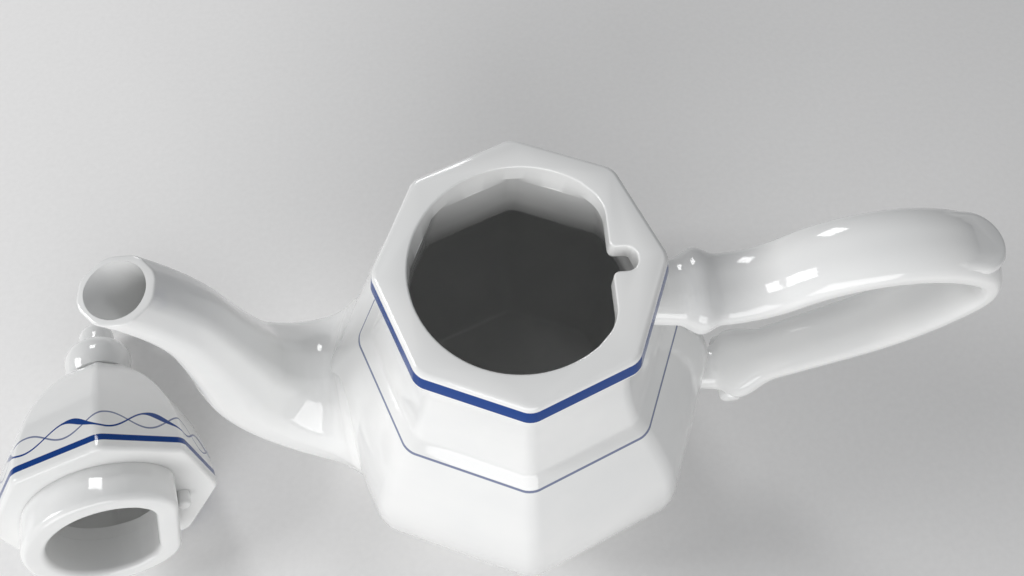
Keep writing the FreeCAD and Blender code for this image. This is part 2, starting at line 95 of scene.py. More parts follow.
def close():
    """Caps the open ends, turns the faces outwards and leaves edit mode."""
    bpy.ops.mesh.select_all(action="SELECT")
    bpy.ops.mesh.fill_holes(sides=0)
    bpy.ops.mesh.normals_make_consistent(inside=False)
    bpy.ops.object.mode_set(mode="OBJECT")


print("ring tools are ready")

# %% Outline of the vessel
CORNER = 1 / math.cos(math.radians(22.5))  # from the middle of a side to a corner
FOOT = [(46.2, 0.0), (46.9, 0.4), (47.1, 1.0), (48.0, 5.0)]  # half widths across the flats, and heights
BELLY = (64.6, 49.0)
SHOULDER = (45.9, 104.2)
LEDGE = [(45.5, 104.8), (44.6, 105.5), (42.8, 106.6), (42.1, 107.1), (41.6, 107.8)]
NECK_TOP = (34.2, 142.8)
RIM_BAND = [(34.6, 143.2), (35.4, 143.5), (35.95, 143.95), (36.25, 144.6)]
RIM_EDGE = [(35.1, 150.4), (34.9, 151.0), (34.6, 151.42), (34.15, 151.75), (33.6, 151.95)]


def arc(start, end, level, steps):
    """Points of an arc whose centre is as high as one of its ends, without the first point."""
    near, far = (start, end) if level == "start" else (end, start)
    middle = (near[0] ** 2 - far[0] ** 2 - (far[1] - near[1]) ** 2) / (2 * (near[0] - far[0]))
    centre = Vector((middle, near[1]))
    first = Vector(start) - centre
    last = Vector(end) - centre
    turn = first.angle_signed(last)
    points = []
    for number in range(1, steps + 1):
        spoke = first.copy()
        spoke.rotate(Matrix.Rotation(-turn * number / steps, 2))
        points.append(tuple(centre + spoke))
    return points


def to_corners(points):
    """Turns half widths across the flats into the ring's radius at the corners."""
    return [(half * CORNER, height) for half, height in points]


profile = FOOT + arc(FOOT[-1], BELLY, "end", 16) + arc(BELLY, SHOULDER, "start", 20)
profile += LEDGE + arc(LEDGE[-1], NECK_TOP, "end", 16) + RIM_BAND + RIM_EDGE
print("outline:", len(profile), "levels up to", profile[-1][1], "mm")

# %% Outside of the vessel
SOFT_CORNER = (0.052, 5)  # rounding of the octagon's corners and its steps
pot_outside = octagon("pot_outside", *SOFT_CORNER)
climb(to_corners(profile))
close()
print("outside of the vessel:", len(pot_outside.data.polygons), "faces")

# %% [markdown]
# ## Hollow, mouth and holes
#
# Inside, the pot is a smaller octagon under a thick flat rim. The mouth is round with one flat side and a
# notch, which keep the lid from turning, and a few holes behind the spout hold back the leaves. A solidify
# modifier would give one even wall, but the rim is far thicker than the belly. So we model the empty spaces
# as solids and cut them out with booleans.

# %% Cutting tools
def modify(piece, kind, **settings):
    """Adds a modifier to a piece and applies it."""
    bpy.ops.object.select_all(action="DESELECT")
    bpy.context.view_layer.objects.active = piece
    piece.select_set(True)
    item = piece.modifiers.new(kind.lower(), kind)
    for key, value in settings.items():
        setattr(item, key, value)
    bpy.ops.object.modifier_apply(modifier=item.name)


def combine(piece, operation, *tools):
    """Joins tools to a piece or cuts them out of it, and throws the tools away."""
    for tool in tools:
        modify(piece, "BOOLEAN", operation=operation, solver="EXACT", object=tool)
        bpy.data.objects.remove(tool)


def copy_of(piece, name):
    """A second object with a mesh of its own."""
    twin = piece.copy()
    twin.data = piece.data.copy()
    twin.name = name
    bpy.context.scene.collection.objects.link(twin)
    return twin


def pick(piece, test):
    """Selects the vertices of a piece in edit mode that pass a test."""
    bpy.ops.mesh.select_all(action="DESELECT")
    bpy.ops.object.mode_set(mode="OBJECT")
    for vertex in piece.data.vertices:
        vertex.select = test(vertex.co)
    bpy.ops.object.mode_set(mode="EDIT")


print("cutting tools are ready")

# %% Hollow
INNER_FLOOR = [(40.0, 7.6), (41.5, 8.2)]
INNER_BELLY = (60.5, 49.0)
INNER_SHOULDER = (35.8, 110.4)
INNER_NECK = [(35.3, 111.4), (33.3, 122.0), (31.0, 132.0), (28.6, 142.0), (27.4, 146.0)]
hollow = INNER_FLOOR + arc(INNER_FLOOR[-1], INNER_BELLY, "end", 14)
hollow += arc(INNER_BELLY, INNER_SHOULDER, "start", 16) + INNER_NECK
pot_core = octagon("pot_core", *SOFT_CORNER)
climb(to_corners(hollow))
close()
print("hollow:", len(pot_core.data.polygons), "faces")

# %% Mouth with its flat side and notch
D_CORNER = 5.0
MOUTH_RADIUS, MOUTH_FLAT = 28.5, 23.0
NOTCH = (6.8, 29.8, 1.7)  # width, tip and rounding where it leaves the flat side
TINY = 0.001


def add_notch(piece, radius, flat, notch):
    """Pulls a round-ended notch out of the flat side of an outline."""
    width, tip, soft = notch
    pick(piece, lambda co: co.x > flat - TINY)
    bpy.ops.mesh.subdivide(number_cuts=2)
    pick(piece, lambda co: co.x > flat - TINY and abs(co.y) < 0.3 * radius)
    middle = max(v.co.y for v in piece.data.vertices if v.select)
    bpy.ops.transform.resize(value=(1, width / 2 / middle, 1), center_override=(flat, 0, 0))
    extrude((tip - flat, 0, 0))
    bpy.ops.mesh.select_all(action="SELECT")
    bpy.ops.mesh.dissolve_limited(angle_limit=math.radians(0.5))
    pick(piece, lambda co: co.x > tip - TINY)
    bpy.ops.mesh.bevel(offset=width * 0.46, segments=10, affect="VERTICES", profile=0.5)
    pick(piece, lambda co: abs(co.x - flat) < TINY and abs(abs(co.y) - width / 2) < 0.01)
    bpy.ops.mesh.bevel(offset=soft, segments=6, affect="VERTICES", profile=0.5)


def d_prism(name, radius, flat, levels, notch=None):
    """A round with one flat side, extruded through levels of (outward offset, height)."""
    piece = ring(name, 96, radius)
    bpy.ops.mesh.edge_face_add()
    bpy.ops.mesh.bisect(plane_co=(flat, 0, 0), plane_no=(1, 0, 0), use_fill=False, clear_outer=True)
    pick(piece, lambda co: flat - D_CORNER < co.x < flat - 0.01)
    bpy.ops.mesh.dissolve_verts()
    pick(piece, lambda co: co.x > flat - 0.01)
    bpy.ops.mesh.bevel(offset=D_CORNER * 0.8, segments=8, affect="VERTICES", profile=0.5)
    if notch:
        add_notch(piece, radius, flat, notch)
    bpy.ops.mesh.select_all(action="SELECT")
    climb([(radius + offset, height) for offset, height in levels], radius)
    close()
    return piece


mouth = d_prism("mouth", MOUTH_RADIUS, MOUTH_FLAT, [(0, 143), (0, 156)], NOTCH)
print("mouth:", len(mouth.data.polygons), "faces")

# %% Foot recess and strainer holes
def peg(name, vertices, radius, place, along, turn=(0, 0, 0)):
    """A round bar from a place along a direction."""
    piece = ring(name, vertices, radius, turn)
    bpy.ops.mesh.edge_face_add()
    bpy.ops.transform.translate(value=place)
    extrude(along)
    close()
    return piece


HOLE_RADIUS, HOLE_CIRCLE, HOLE_HEIGHT = 2.4, 7.4, 57
recess = peg("recess", 64, 41, (0, 0, -3), (0, 0, 5))
holes = []
for number in range(7):
    out = 0 if number == 6 else HOLE_CIRCLE
    across = out * math.cos(math.radians(60 * number))
    up = out * math.sin(math.radians(60 * number))
    place = (-80, across, HOLE_HEIGHT + up)
    holes.append(peg(f"hole_{number}", 24, HOLE_RADIUS, place, (40, 0, 0), (0, math.radians(90), 0)))
print("strainer holes:", len(holes))

# %% Cut the vessel and round the edge of its mouth
vessel = copy_of(pot_outside, "vessel")
combine(vessel, "DIFFERENCE", pot_core, mouth, recess, *holes)
bpy.ops.object.mode_set(mode="EDIT")
pick(vessel, lambda co: co.z > 151.9 and math.hypot(co.x, co.y) < 31.0)
bpy.ops.mesh.bevel(offset=0.5, segments=5, affect="EDGES", profile=0.5, clamp_overlap=True)
bpy.ops.object.mode_set(mode="OBJECT")
print("vessel:", len(vessel.data.polygons), "faces")

# %% [markdown]
# ## The spout
#
# On such pots the spout is cast by itself and joined over the holes with wet clay. It leaves the belly wide,
# bends up, rises and leans out at the tip. A curve with a bevel would give a tube of one section, but this one
# is a soft octagon that narrows and flattens. So we sweep a ring along lines and arcs and resize it on the way,
# cut the mouth level, and take out a second, thinner sweep as the bore.

# %% Sweep along lines and arcs
def sweep(x, z, heading, path, sizes):
    """Extrudes the ring through the XZ plane. Sizes gives half depth and half width on the way."""
    depth, width = sizes(0)
    bpy.ops.transform.resize(value=(depth, width, depth), center_override=(0, 0, 0))
    bpy.ops.transform.translate(value=(x, 0, z))
    way = 0
    for length, radius, turn, steps in path:
        for _ in range(steps):
            side = math.copysign(1, turn)
            if turn:
                centre = (x - side * radius * math.sin(heading), 0, z + side * radius * math.cos(heading))
                angle = turn / steps
                bpy.ops.mesh.spin(steps=1, angle=abs(angle), center=centre, axis=(0, side, 0))
                heading += angle
                x = centre[0] + side * radius * math.sin(heading)
                z = centre[2] - side * radius * math.cos(heading)
                way += abs(angle) * radius
            else:
                move = (math.cos(heading) * length / steps, 0, math.sin(heading) * length / steps)
                extrude(move)
                x, z, way = x + move[0], z + move[2], way + length / steps
            thicker, wider = sizes(way)
            grow = (thicker / depth, wider / width, thicker / depth)
            bpy.ops.transform.resize(value=grow, center_override=(x, 0, z))
            depth, width = thicker, wider


print("sweep is ready")

# %% Path and sizes of the spout
SPOUT_STUB, SPOUT_BEND, SPOUT_RISE, SPOUT_LEAN = 18.0, 34.0, 34.0, 47.0  # line, radius, line, radius
SPOUT_PATH = [  # length of a line, or radius and turn of an arc, and the steps
    (SPOUT_STUB, 0, 0, 14),
    (0, SPOUT_BEND, -math.radians(90), 34),
    (SPOUT_RISE, 0, 0, 10),
    (0, SPOUT_LEAN, math.radians(60), 14),
]
SPOUT_LENGTH = SPOUT_BEND * math.pi / 2 + SPOUT_RISE + SPOUT_LEAN * math.pi / 3
TIP_HALF, ROOT_EXTRA = 9.7, 20.2
SPOUT_WALL = 3.2


def spout_sizes(thinner):
    """Sizes for the sweep: the outside, or the bore if thinner is the wall at the root."""
    def sizes(way):
        part = min(max((way - SPOUT_STUB) / SPOUT_LENGTH, 0), 1)
        width = TIP_HALF + ROOT_EXTRA * (1 - part) ** 2.3
        depth = width * (1 - 0.24 * part)
        wall = thinner * (1 - 0.58 * part)
        return (depth - wall) * CORNER * 0.965, (width - wall) * CORNER * 0.965

    return sizes


def spout_sweep(name, thinner):
    """The spout's outside, or its rounder bore."""
    piece = octagon(name, 0.36 if thinner else 0.22, 7, (0, math.radians(90), 0))
    bpy.ops.transform.rotate(value=math.radians(22.5), orient_axis="X", center_override=(0, 0, 0))
    sweep(-38.5, 55.0, math.radians(180), SPOUT_PATH, spout_sizes(thinner))
    close()
    return piece


print("spout:", round(SPOUT_LENGTH), "mm long outside the belly")

# %% Spout
LIP_HEIGHT = 151.35
LIP_STEPS = ((0.12, 0.28), (0.24, 0.18), (0.34, 0.08))  # inwards and upwards
ROOT_REACH, ROOT_SWELL, CORE_DEPTH = 12.0, 3.8, 3.0


def soften_root(piece):
    """Swells a piece where it nears the vessel, like slip smoothed along a joint."""
    core = copy_of(pot_outside, "core")
    modify(core, "DISPLACE", strength=-CORE_DEPTH, mid_level=0.0)
    near = piece.vertex_groups.new(name="near")
    near.add(range(len(piece.data.vertices)), 1.0, "REPLACE")
    closeness = {"target": core, "min_dist": ROOT_REACH, "max_dist": 0.0, "falloff_type": "SHARP"}
    closeness |= {"proximity_mode": "GEOMETRY", "proximity_geometry": {"FACE"}}
    modify(piece, "VERTEX_WEIGHT_PROXIMITY", vertex_group="near", **closeness)
    modify(piece, "DISPLACE", vertex_group="near", strength=ROOT_SWELL, mid_level=0.0)
    piece.vertex_groups.clear()
    bpy.data.objects.remove(core)


spout = spout_sweep("spout_outside", 0)
bpy.ops.object.mode_set(mode="EDIT")
bpy.ops.mesh.select_all(action="SELECT")
bpy.ops.mesh.bisect(plane_co=(0, 0, LIP_HEIGHT), plane_no=(0, 0, 1), use_fill=True, clear_outer=True)
pick(spout, lambda co: co.z > LIP_HEIGHT - 0.01)
bpy.ops.mesh.remove_doubles(threshold=0.25)
for inward, upward in LIP_STEPS:
    bpy.ops.mesh.inset(thickness=inward, depth=upward)
bpy.ops.object.mode_set(mode="OBJECT")
soften_root(spout)
spout_bore = spout_sweep("spout_bore", SPOUT_WALL)
combine(spout, "DIFFERENCE", copy_of(pot_outside, "spout_seat"), spout_bore)
print("spout:", len(spout.data.polygons), "faces")

# %% [markdown]
# ## The handle
#
# The handle is a solid strap from the neck over a crest and back to the belly, with a bead near the neck, a
# thumb rest on the crest and a small spur at the heel. Sculpting would give the same softness, but not the
# same sizes each time. The sweep from the spout serves again: bead and heel are swellings on its way, and
# the thumb rest and the spur are joined on.

# %% Sizes of the strap
HANDLE_PATH = [  # as for the spout
    (25.0, 0, 0, 25),
    (0, 25.0, math.radians(50), 14),
    (0, 35.5, -math.radians(80), 22),
    (0, 20.0, -math.radians(68), 18),
    (0, 76.0, -math.radians(35), 16),
    (42.0, 0, 0, 28),
    (0, 14.0, -math.radians(42), 10),
    (14.0, 0, 0, 6),
]
HEEL_AT = sum(length or radius * abs(turn) for length, radius, turn, _ in HANDLE_PATH[:6])
BEAD_AT, THUMB_AT, STUB_END = 20.0, 107.0, 26.0


def bump(way, middle, half):
    """A smooth swelling, one in the middle and none beyond the half length."""
    part = min(abs(way - middle) / half, 1)
    return 0.5 + 0.5 * math.cos(math.pi * part)


def strap_sizes(way):
    """Half depth and half width of the strap."""
    bead = bump(way, BEAD_AT, 6.4)
    stub = bump(min(way, STUB_END), 0, STUB_END)
    heel = bump(way, HEEL_AT + 1, 16 if way < HEEL_AT + 1 else 8)
    foot = min(max((way - HEEL_AT) / 12.0, 0), 1)
    under_thumb = bump(way, THUMB_AT, 17.0)
    depth = 5.2 + 2.4 * bead + 0.8 * heel - 1.3 * under_thumb
    width = 10.6 - 1.1 * way / HEEL_AT + 2.3 * bead - 1.8 * stub + 3.4 * heel - 2.0 * foot
    return depth, width


print("heel after", round(HEEL_AT, 1), "mm of strap")

# %% Strap
handle = octagon("handle_strap", 0.84, 12, (0, math.radians(90), 0), 4, math.sqrt(2))
bpy.ops.transform.rotate(value=math.radians(45), orient_axis="X", center_override=(0, 0, 0))
sweep(30.0, 127.0, 0.0, HANDLE_PATH, strap_sizes)
close()
print("strap:", len(handle.data.polygons), "faces")

# %% Thumb rest
def slot_prism(name, root, tip, width, levels):
    """A tongue along +X with round ends, extruded through levels of (outward offset, height)."""
    half = width / 2
    span = (tip - root) / 2
    centre = ((root + tip) / 2, 0, 0)
    piece = ring(name, 48, half)
    bpy.ops.mesh.edge_face_add()
    bpy.ops.transform.translate(value=(tip - half, 0, 0))
    pick(piece, lambda co: co.x < tip - half - 0.01)
    bpy.ops.transform.translate(value=(root - tip + width, 0, 0))
    bpy.ops.mesh.select_all(action="SELECT")
    height = 0
    grown = 0
    for number, (offset, higher) in enumerate(levels):
        if number == 0:
            bpy.ops.transform.translate(value=(0, 0, higher))
        else:
            extrude((0, 0, higher - height))
        grow = ((span + offset) / (span + grown), (half + offset) / (half + grown), 1)
        bpy.ops.transform.resize(value=grow, center_override=centre)
        height, grown = higher, offset
    close()
    return piece


def put(piece, place):
    """Moves the piece that was just made, and applies the move."""
    piece.matrix_world = place
    bpy.ops.object.transform_apply(location=True, rotation=True, scale=True)


THUMB_LEVELS = [(-1.8, -4.9), (-0.8, -4.5), (-0.2, -3.7), (0, -3.0)]
THUMB_LEVELS += [(0, -2.0), (-0.3, -1.0), (-1.0, -0.3), (-2.0, 0)]
tongue = slot_prism("tongue", 0.0, 22.8, 17.6, THUMB_LEVELS)
put(tongue, Matrix.Translation((105.0, 0, 153.3)) @ Matrix.Rotation(math.radians(14), 4, "Y"))
print("thumb rest:", len(tongue.data.polygons), "faces")

# %% Spur, and the finished handle
SPUR_HALF, SPUR_BAR = 12.6, 20.8
SPUR_END = [(0.3, 3.0), (0.7, 1.25), (1.2, 1.15)]  # along the bar, and growth
spur = ring("spur", 32, 1, (math.radians(90), 0, 0))
bpy.ops.mesh.edge_face_add()
bpy.ops.transform.translate(value=(0, -SPUR_HALF, 0))
for along, grow in SPUR_END + [(SPUR_BAR, 1.0)] + [(along, 1 / grow) for along, grow in reversed(SPUR_END)]:
    extrude((0, along, 0))
    bpy.ops.transform.resize(value=(grow, 1, grow), center_override=(0, 0, 0))
close()
put(spur, Matrix.Translation((79.0, 0, 46.4)))
combine(handle, "UNION", tongue, spur)
combine(handle, "DIFFERENCE", copy_of(pot_outside, "handle_seat"))
bpy.data.objects.remove(pot_outside)
print("handle:", len(handle.data.polygons), "faces")

# %% [markdown]
# ## The lid
#
# The lid is a hollow octagonal dome with a turned knob. Under it sits a thick D-shaped collar that drops into
# the mouth, with a small key for the notch. We could model it where it lies, but every ring would then be
# tilted. It is easier to build it upright around its own axis, with the underside at height zero, and to lay
# it down at the end.

# %% Dome
BORE_RADIUS, BORE_FLAT = 20.2, 14.7
DOME_HALF, DOME_LOW, DOME_EDGE = 34.55, 0.05, 1.6
DOME_TOP = (9.0, 63.5)


def rounding(radius, height, steps, side=-1):
    """Offsets and heights of a rounded lower edge, drawn in, or drawn out for the edge of a bore."""
    angles = [math.radians(90) * number / steps for number in range(steps + 1)]
    return [(side * radius * (1 - math.sin(a)), height + radius * (1 - math.cos(a))) for a in angles]


dome = [(DOME_HALF + offset, height) for offset, height in rounding(DOME_EDGE, DOME_LOW, 5)]
dome += arc((DOME_HALF, DOME_LOW + DOME_EDGE), DOME_TOP, "start", 26)
lid_dome = octagon("dome", *SOFT_CORNER)
climb(to_corners(dome))
close()
cavity = [(29.0, 5.0), (30.0, 5.6)] + arc((30.0, 5.6), (10.0, 52.0), "start", 16)
dome_core = octagon("dome_core", *SOFT_CORNER)
climb(to_corners(cavity))
close()
combine(lid_dome, "DIFFERENCE", dome_core, d_prism("dome_bore", BORE_RADIUS, BORE_FLAT, [(0, -2), (0, 9)]))
print("dome:", len(lid_dome.data.polygons), "faces")

# %% Collar and key
COLLAR_RADIUS, COLLAR_FLAT, COLLAR_EDGE = 27.7, 22.2, 2.4
KEY_TIP, KEY_WIDTH, KEY_EDGE = 27.0, 5.2, 1.2
lid_collar = d_prism("collar", COLLAR_RADIUS, COLLAR_FLAT, rounding(COLLAR_EDGE, -14.45, 6) + [(0, 0)])
bore_levels = [(COLLAR_EDGE, -16)] + rounding(COLLAR_EDGE, -14.5, 6, side=1) + [(0, 1)]
combine(lid_collar, "DIFFERENCE", d_prism("collar_bore", BORE_RADIUS, BORE_FLAT, bore_levels))
lid_key = slot_prism("key", COLLAR_FLAT, KEY_TIP, KEY_WIDTH, rounding(KEY_EDGE, -6.0, 4) + [(0, 0)])
print("collar and key:", [len(piece.data.polygons) for piece in (lid_collar, lid_key)], "faces")

# %% Knob
KNOB_FOOT, KNOB_BEAD, KNOB_WAIST, KNOB_TIP = (10.3, 63.5), (12.5, 71.5), (6.2, 79.4), (6.7, 85.3)
TIP_HEIGHT = 6.65
knob = [KNOB_FOOT] + arc(KNOB_FOOT, KNOB_BEAD, "end", 8) + arc(KNOB_BEAD, KNOB_WAIST, "start", 10)
knob += arc(KNOB_WAIST, KNOB_TIP, "end", 4)
for number in range(1, 10):
    angle = math.radians(9 * number)
    knob.append((KNOB_TIP[0] * math.cos(angle), KNOB_TIP[1] + TIP_HEIGHT * math.sin(angle)))
lid_knob = ring("knob", 64, 1)
climb(knob)
close()
print("knob:", len(lid_knob.data.polygons), "faces")

# %% [markdown]
# ## Putting the pieces in place
#
# On the table the pot stands and its lid lies on one of its flats, knob low and away from us. Objects could
# keep a scale and a turn of their own, but the model is simpler without them. So each piece is scaled
# to metres, the lid's pieces also get the turn that lays the lid down, and both are applied to the mesh.

# %% Where the lid lies
LID_HALF, LID_LEVEL = 34.6, 1.5  # the CAD lid's half width, and the height where its curve starts
tilt = math.radians(17.6)
lid_arc = ((DOME_TOP[1] - LID_LEVEL) ** 2 + (LID_HALF - DOME_TOP[0]) ** 2) / (2 * (LID_HALF - DOME_TOP[0]))
lid_height = (LID_HALF - lid_arc) * math.cos(tilt) + LID_LEVEL * math.sin(tilt) + lid_arc
lid_turn = (
    Matrix.Rotation(math.radians(20.3), 4, "Z")
    @ Matrix.Rotation(-math.radians(90) - tilt, 4, "X")
    @ Matrix.Rotation(math.radians(22.5), 4, "Z")
)
lid_place = Matrix.Translation((-151.5 * MM, -35.1 * MM, lid_height * MM)) @ lid_turn
print("lid's axis crosses its underside", round(lid_height, 2), "mm above the floor")

# %% Place, smooth and attach
STANDING = Matrix.Identity(4)
PIECES = [
    (vessel, "glazed_vessel", "pot_body", "pot", "pot_glaze", STANDING),
    (spout, "glazed_spout", "spout", "pot", "pot_glaze", STANDING),
    (handle, "glazed_handle", "handle", "pot", "pot_glaze", STANDING),
    (lid_dome, "glazed_dome", "lid_dome", "lid", "lid_glaze", lid_place),
    (lid_collar, "glazed_collar", "lid_collar", "lid", "lid_glaze", lid_place),
    (lid_key, "glazed_key", "lid_key", "lid", "lid_glaze", lid_place),
    (lid_knob, "glazed_knob", "lid_knob", "lid", "lid_glaze", lid_place),
]
for piece, name, node, body, slot, place in PIECES:
    bpy.ops.object.select_all(action="DESELECT")
    bpy.context.view_layer.objects.active = piece
    piece.select_set(True)
    piece.name = name
    piece.data.name = name
    put(piece, place @ Matrix.Scale(MM, 4))
    bpy.ops.object.shade_smooth_by_angle(angle=math.radians(32))
    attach(piece, body)
    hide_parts(node)
    print(name, "stands for", node)

# %% [markdown]
# ## The glaze
#
# Real glaze is nearly white, a little uneven in tone and in gloss, with a few specks, and its surface is never
# quite flat. Photographs of glaze could be laid on, but noise fits any shape and needs no unwrapping. All the
# pieces share the same glaze, so the noise lives in one node group that gives a colour, a gloss and a normal.

# %% Node helpers
def add(tree, kind, inputs=None, **settings):
    """Adds a node. Its inputs are linked where they are sockets and set where they are values."""
    item = tree.nodes.new(kind)
    for key, value in settings.items():
        setattr(item, key, value)
    for key, value in (inputs or {}).items():
        if isinstance(value, bpy.types.NodeSocket):
            tree.links.new(value, item.inputs[key])
        else:
            item.inputs[key].default_value = value
    return item


def blend(tree, under, mask, colour):
    """Lays a colour over another one where the mask is."""
    over = add(tree, "ShaderNodeMix", {"Factor": mask}, data_type="RGBA")
    tree.links.new(under, over.inputs[6])
    over.inputs[7].default_value = colour
    return over.outputs[2]


def noise(tree, place, scale, detail):
    """Values of a noise texture."""
    inputs = {"Vector": place, "Scale": scale, "Detail": detail}
    return add(tree, "ShaderNodeTexNoise", inputs).outputs["Fac"]


def stretch(tree, value, source, target):
    """Maps a value from one range to another."""
    inputs = {"Value": value, "From Min": source[0], "From Max": source[1]}
    inputs |= {"To Min": target[0], "To Max": target[1]}
    return add(tree, "ShaderNodeMapRange", inputs).outputs["Result"]


print("node helpers are ready")

# %% Uneven glaze
SPECK = (0.45, 0.43, 0.4, 1)
group = bpy.data.node_groups.new("uneven_glaze", "ShaderNodeTree")
group.interface.new_socket("Vector", in_out="INPUT", socket_type="NodeSocketVector")
group.interface.new_socket("Colour", in_out="OUTPUT", socket_type="NodeSocketColor")
group.interface.new_socket("Gloss", in_out="OUTPUT", socket_type="NodeSocketFloat")
group.interface.new_socket("Normal", in_out="OUTPUT", socket_type="NodeSocketVector")
start = group.nodes.new("NodeGroupInput").outputs[0]
end = group.nodes.new("NodeGroupOutput")
tone = noise(group, start, 38.0, 3.0)
specks = stretch(group, noise(group, start, 900.0, 2.0), (0.78, 0.84), (0.0, 0.12))
pool = noise(group, start, 55.0, 1.0)
ramp = add(group, "ShaderNodeValToRGB", {0: tone})
dull, bright = ramp.color_ramp.elements
dull.position, dull.color = 0.3, (0.83, 0.835, 0.83, 1)
bright.position, bright.color = 0.7, (0.875, 0.875, 0.865, 1)
waves = add(group, "ShaderNodeBump", {"Height": pool, "Strength": 0.05, "Distance": 0.002})
group.links.new(blend(group, ramp.outputs["Color"], specks, SPECK), end.inputs["Colour"])
group.links.new(stretch(group, tone, (0.3, 0.7), (0.05, 0.09)), end.inputs["Gloss"])
group.links.new(waves.outputs["Normal"], end.inputs["Normal"])
print("glaze group:", len(group.nodes), "nodes")

# %% Plain glaze
def glaze(name):
    """A glossy porcelain material. Returns it with its tree, coordinates, glaze colour and shader."""
    material = bpy.data.materials.new(name)
    material.use_nodes = True
    tree = material.node_tree
    shader = tree.nodes["Principled BSDF"]
    place = add(tree, "ShaderNodeTexCoord").outputs["Object"]
    uneven = tree.nodes.new("ShaderNodeGroup")
    uneven.node_tree = group
    tree.links.new(place, uneven.inputs["Vector"])
    tree.links.new(uneven.outputs["Gloss"], shader.inputs["Roughness"])
    tree.links.new(uneven.outputs["Normal"], shader.inputs["Normal"])
    shader.inputs["IOR"].default_value = 1.52
    return material, tree, place, uneven.outputs["Colour"], shader


plain_glaze, tree, place, colour, shader = glaze("plain_glaze")
tree.links.new(colour, shader.inputs["Base Color"])
print("material:", plain_glaze.name)

# %% [markdown]
# ## Cobalt lines
#
# The photo shows cobalt blue lines: a band on the rim, a hairline on the shoulder, and on the lid a stripe with
# two crossing waves. They could be separate strips of mesh, but the paint has no thickness that shows. So each
# line is a mask over the height of the point, and the waves take their height from the angle around the lid.

# %% Masks
COBALT = (0.003, 0.046, 0.235, 1)
FAINT = (0.07, 0.105, 0.25, 1)
FAINTNESS = 0.85


def calc(tree, operation, *values):
    """One step of arithmetic on sockets or numbers."""
    return add(tree, "ShaderNodeMath", dict(enumerate(values)), operation=operation).outputs[0]


def band(tree, value, middle, half, soft):
    """A mask that is one within half a width of the middle."""
    away = calc(tree, "ABSOLUTE", calc(tree, "SUBTRACT", value, middle))
    if isinstance(half, float):
        inside, outside = half - soft, half + soft
    else:
        inside, outside = calc(tree, "SUBTRACT", half, soft), calc(tree, "ADD", half, soft)
    fade = {"Value": away, "From Min": inside, "From Max": outside, "To Min": 1.0, "To Max": 0.0}
    return add(tree, "ShaderNodeMapRange", fade, interpolation_type="SMOOTHSTEP").outputs["Result"]


def around_axis(tree, place):
    """The x, y and z of a point, and its distance from the axis."""
    x, y, z = add(tree, "ShaderNodeSeparateXYZ", {0: place}).outputs
    flat = add(tree, "ShaderNodeCombineXYZ", {0: x, 1: y}).outputs[0]
    radius = add(tree, "ShaderNodeVectorMath", {0: flat}, operation="LENGTH").outputs["Value"]
    return x, y, z, radius


print("cobalt:", COBALT[:3])

# %% Glaze of the pot
RIM_LINE = (0.1477, 0.0026, 0.0001)  # height, half width and softness, in metres
HAIRLINE = (0.1043, 0.00038, 0.00014)
pot_glaze, tree, place, colour, shader = glaze("pot_glaze")
_, _, height, radius = around_axis(tree, place)
outer = calc(tree, "GREATER_THAN", radius, 0.0325)
rim = calc(tree, "MULTIPLY", band(tree, height, *RIM_LINE), outer)
hair = calc(tree, "MULTIPLY", band(tree, height, *HAIRLINE), outer)
hair = calc(tree, "MULTIPLY", hair, calc(tree, "LESS_THAN", radius, 0.054))
colour = blend(tree, colour, rim, COBALT)
colour = blend(tree, colour, calc(tree, "MULTIPLY", hair, FAINTNESS), FAINT)
tree.links.new(colour, shader.inputs["Base Color"])
duller = calc(tree, "SUBTRACT", 0.5, calc(tree, "MULTIPLY", rim, 0.38))
tree.links.new(duller, shader.inputs["Specular IOR Level"])
print("material:", pot_glaze.name)

# %% Glaze of the lid
LID_STRIPE = (0.0052, 0.0013, 0.0001)
WAVES, WAVE_START, WAVE_SWING, WAVE_HEIGHT = 8.0, 2.3, 0.0036, 0.0138
THIN, SWELL, WAVE_SOFT = 0.00042, 0.0011, 0.00012
lid_glaze, tree, place, colour, shader = glaze("lid_glaze")
lying = {"Vector": place, "Location": lid_place.to_translation(), "Rotation": lid_place.to_euler()}
upright = add(tree, "ShaderNodeMapping", lying, vector_type="TEXTURE").outputs[0]
x, y, height, radius = around_axis(tree, upright)
outer = calc(tree, "GREATER_THAN", radius, 0.0324)
phase = calc(tree, "SUBTRACT", calc(tree, "MULTIPLY", calc(tree, "ARCTAN2", y, x), WAVES), WAVE_START)
wave_one = calc(tree, "MULTIPLY_ADD", calc(tree, "SINE", phase), WAVE_SWING, WAVE_HEIGHT)
opposite = calc(tree, "SINE", calc(tree, "ADD", phase, math.pi))
wave_two = calc(tree, "MULTIPLY_ADD", opposite, WAVE_SWING, WAVE_HEIGHT)
press = calc(tree, "MAXIMUM", calc(tree, "SINE", calc(tree, "ADD", phase, -1.0)), 0.0)
thick = calc(tree, "MULTIPLY_ADD", calc(tree, "POWER", press, 2.5), SWELL, THIN)
stripe = calc(tree, "MULTIPLY", band(tree, height, *LID_STRIPE), outer)
line_one = calc(tree, "MULTIPLY", band(tree, height, wave_one, thick, WAVE_SOFT), outer)
line_two = calc(tree, "MULTIPLY", band(tree, height, wave_two, 0.0004, WAVE_SOFT), outer)
colour = blend(tree, colour, stripe, COBALT)
colour = blend(tree, colour, calc(tree, "MULTIPLY", line_two, FAINTNESS), FAINT)
colour = blend(tree, colour, line_one, COBALT)
tree.links.new(colour, shader.inputs["Base Color"])
print("material:", lid_glaze.name)

